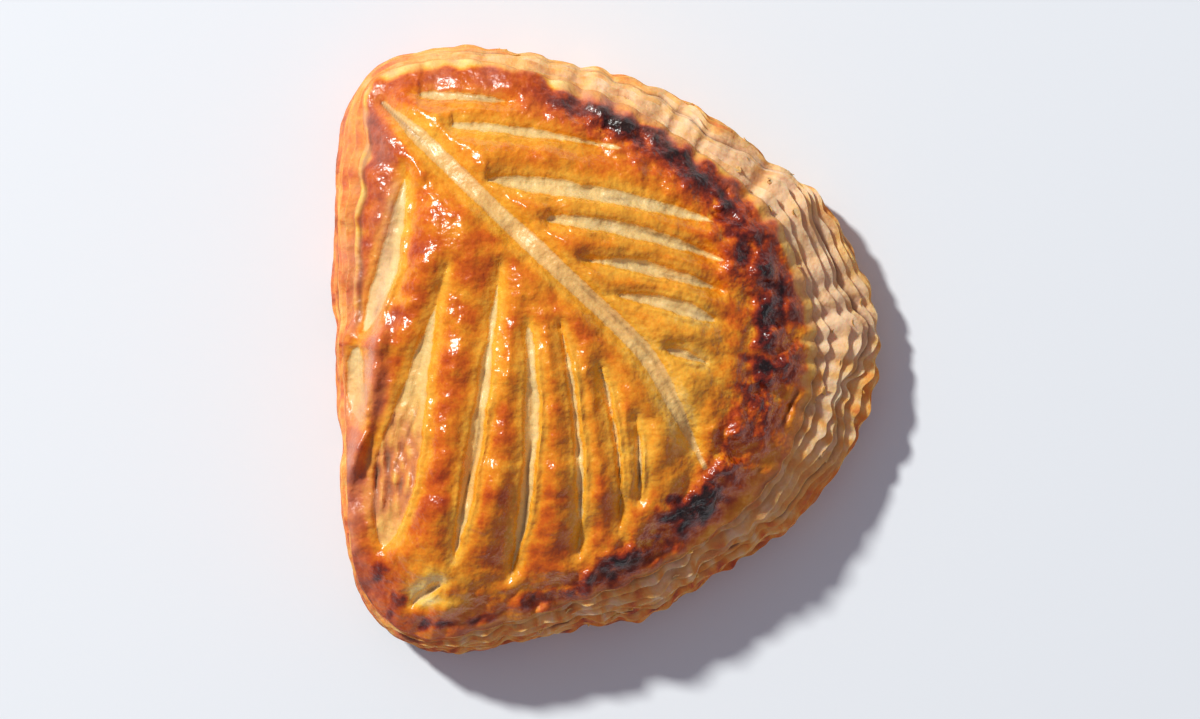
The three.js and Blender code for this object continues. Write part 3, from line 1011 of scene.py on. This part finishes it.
# %% The tree of pimples and flakes
SMALLEST_FLAKE = 0.35  # as a share of the largest one
skin_tree = bpy.data.node_groups.new("pastry_skin", "GeometryNodeTree")
SKIN_INPUTS = {
    "Pastry": ("NodeSocketGeometry", None),
    "Pimple Size": (FLOAT, 1.9 * MM),
    "Pimple Height": (FLOAT, 0.14 * MM),
    "Flake": ("NodeSocketObject", flake),
    "Flakes Per Square Metre": (FLOAT, 16000.0),
    "Flake Tilt": (FLOAT, 0.22),
    "Seed": ("NodeSocketInt", 7),
    "Crust Finish": ("NodeSocketMaterial", egg_washed),
    "Wall Finish": ("NodeSocketMaterial", bare_leaves),
    "Base Finish": ("NodeSocketMaterial", baked_base),
}
for name, (kind, _) in SKIN_INPUTS.items():
    skin_tree.interface.new_socket(name, in_out="INPUT", socket_type=kind)
skin_tree.interface.new_socket("Pastry", in_out="OUTPUT", socket_type="NodeSocketGeometry")
t = Tree(skin_tree)
given = t.node("NodeGroupInput").outputs


def read(name):
    return t.build("GeometryNodeInputNamedAttribute", {"Name": name}, data_type="FLOAT").outputs["Attribute"]


def finish_part(geometry, finish, selection):
    inputs = {"Geometry": geometry, "Selection": selection, "Material": finish}
    return t.build("GeometryNodeSetMaterial", inputs).outputs[0]


pimple_scale = t.math("DIVIDE", 1.0, given["Pimple Size"])
position = t.node("GeometryNodeInputPosition").outputs[0]
pimple = t.around_zero(t.noise(position, pimple_scale, 1.5, 0.5), 2)
off_base = t.math("SUBTRACT", 1.0, read("is_base"))
pimple = t.times(t.times(pimple, given["Pimple Height"]), off_base)
normal_here = t.node("GeometryNodeInputNormal").outputs[0]
push = t.build("ShaderNodeVectorMath", {0: normal_here, "Scale": pimple}, operation="SCALE").outputs[0]
skinned = t.build("GeometryNodeSetPosition", {"Geometry": given["Pastry"], "Offset": push}).outputs[0]
density = t.times(given["Flakes Per Square Metre"], read("loose"))
spots = t.build(
    "GeometryNodeDistributePointsOnFaces", {"Mesh": skinned, "Density": density, "Seed": given["Seed"]}
)
tilt = given["Flake Tilt"]
tilt_back = t.times(tilt, -1.0)
lowest_turn = t.build("ShaderNodeCombineXYZ", {0: tilt_back, 1: tilt_back})
highest_turn = t.build("ShaderNodeCombineXYZ", {0: tilt, 1: tilt, 2: 2 * math.pi})
turned = t.node("FunctionNodeRandomValue", data_type="FLOAT_VECTOR")
t.put(turned.inputs["Min"], lowest_turn.outputs[0])
t.put(turned.inputs["Max"], highest_turn.outputs[0])
t.put(turned.inputs["Seed"], given["Seed"])
euler = t.build("FunctionNodeEulerToRotation", {0: turned.outputs["Value"]}).outputs[0]
turn_inputs = {"Rotation": spots.outputs["Rotation"], "Rotate By": euler}
rotation = t.build("FunctionNodeRotateRotation", turn_inputs, rotation_space="LOCAL").outputs[0]
flake_size = t.node("FunctionNodeRandomValue", data_type="FLOAT")
for key, value in (("Min", SMALLEST_FLAKE), ("Max", 1.0)):
    t.put(next(s for s in flake_size.inputs if s.name == key and s.type == "VALUE" and s.enabled), value)
flake_info = t.build("GeometryNodeObjectInfo", {"Object": given["Flake"]})
scattered = t.build(
    "GeometryNodeInstanceOnPoints",
    {
        "Points": spots.outputs["Points"],
        "Instance": flake_info.outputs["Geometry"],
        "Rotation": rotation,
        "Scale": next(s for s in flake_size.outputs if s.enabled),
    },
).outputs[0]
joined = t.node("GeometryNodeJoinGeometry")
t.put(joined.inputs[0], scattered)
t.put(joined.inputs[0], skinned)
whole = t.build("GeometryNodeRealizeInstances", {"Geometry": joined.outputs[0]}).outputs[0]
whole = finish_part(whole, given["Crust Finish"], True)
whole = finish_part(whole, given["Wall Finish"], t.math("GREATER_THAN", read("is_wall"), 0.3))
whole = finish_part(whole, given["Base Finish"], t.math("GREATER_THAN", read("is_base"), 0.99))
t.put(t.node("NodeGroupOutput").inputs[0], whole)

# %% Run the tree and keep a plain mesh
SHARP_ANGLE = math.radians(62)

skin_modifier = rough_turnover.modifiers.new("pastry_skin", "NODES")
skin_modifier.node_group = skin_tree
for item in skin_tree.interface.items_tree:
    if item.in_out == "INPUT" and SKIN_INPUTS[item.name][1] is not None:
        skin_modifier[item.identifier] = SKIN_INPUTS[item.name][1]
depsgraph = bpy.context.evaluated_depsgraph_get()
mesh = bpy.data.meshes.new_from_object(
    rough_turnover.evaluated_get(depsgraph), preserve_all_data_layers=True, depsgraph=depsgraph
)
mesh.name = "turnover_mesh"
bpy.data.objects.remove(rough_turnover)
bpy.data.objects.remove(flake)

places = np.empty(len(mesh.vertices) * 3, np.float32)
mesh.vertices.foreach_get("co", places)
fitted = fit_to_box(places.reshape(-1, 3) / MM) * MM
mesh.vertices.foreach_set("co", fitted.astype(np.float32).ravel())
mesh.set_sharp_from_angle(angle=SHARP_ANGLE)
mesh.update()
turnover = bpy.data.objects.new("turnover_pastry", mesh)
bpy.context.scene.collection.objects.link(turnover)

check = bmesh.new()
check.from_mesh(mesh)
open_edges = sum(not e.is_manifold for e in check.edges)
print("triangles:", sum(len(f.verts) - 2 for f in check.faces), "open edges:", open_edges)
check.free()

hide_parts("turnover")
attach(turnover, "root")

# %% [markdown]
# ## Floor, light and camera
# The turnover lies on a pale floor and is seen from straight above. One small lamp stands far off at
# the upper left, 40 degrees up, which gives a long shadow with soft edges. The rest is soft light
# from all round.

# %% The floor
FLOOR_HALF = 1.5
corners = [(-FLOOR_HALF, -FLOOR_HALF, 0), (FLOOR_HALF, -FLOOR_HALF, 0)]
corners += [(FLOOR_HALF, FLOOR_HALF, 0), (-FLOOR_HALF, FLOOR_HALF, 0)]
floor = make_object("floor", np.array(corners) / MM, [(0, 1, 2, 3)], {})
floor_finish, _, shader, _ = new_finish("pale_floor")
shader.inputs["Base Color"].default_value = PALE_FLOOR
shader.inputs["Roughness"].default_value = 0.75
floor.data.materials.append(floor_finish)

# %% Light
LAMP_DISTANCE = 3.4
LAMP_ACROSS = 0.3
LAMP_FROM = Vector((-1.0, 0.92, 1.13)).normalized()
LAMP_WATTS = 133.0
LAMP_COLOUR = (0.97, 1.0, 0.96)
SKY_COLOUR = (0.9, 0.88, 1.03, 1)
SKY_STRENGTH = 0.285

lamp = bpy.data.objects.new("lamp", bpy.data.lights.new("lamp", "AREA"))
lamp.data.shape = "DISK"
lamp.data.size = LAMP_ACROSS
lamp.data.energy = LAMP_WATTS
lamp.data.color = LAMP_COLOUR
lamp.location = LAMP_FROM * LAMP_DISTANCE
lamp.rotation_euler = LAMP_FROM.to_track_quat("Z", "Y").to_euler()
bpy.context.scene.collection.objects.link(lamp)

world = bpy.data.worlds.new("studio")
world.use_nodes = True
sky = world.node_tree.nodes["Background"].inputs
sky["Color"].default_value = SKY_COLOUR
sky["Strength"].default_value = SKY_STRENGTH
bpy.context.scene.world = world
bpy.context.scene.view_settings.view_transform = "Standard"

# %% Camera
CAMERA_HEIGHT = 0.7
VIEW_WIDTH = 0.2579  # what the frame spans across, at SPAN_HEIGHT above the floor
SPAN_HEIGHT = 0.005
CAMERA_PLACE = (-0.0014, -0.00215, CAMERA_HEIGHT)
SENSOR = 36

camera = bpy.data.objects.new("camera", bpy.data.cameras.new("camera"))
camera.data.sensor_width = SENSOR
camera.data.lens = SENSOR * (CAMERA_HEIGHT - SPAN_HEIGHT) / VIEW_WIDTH
camera.location = CAMERA_PLACE
bpy.context.scene.collection.objects.link(camera)
bpy.context.scene.camera = camera
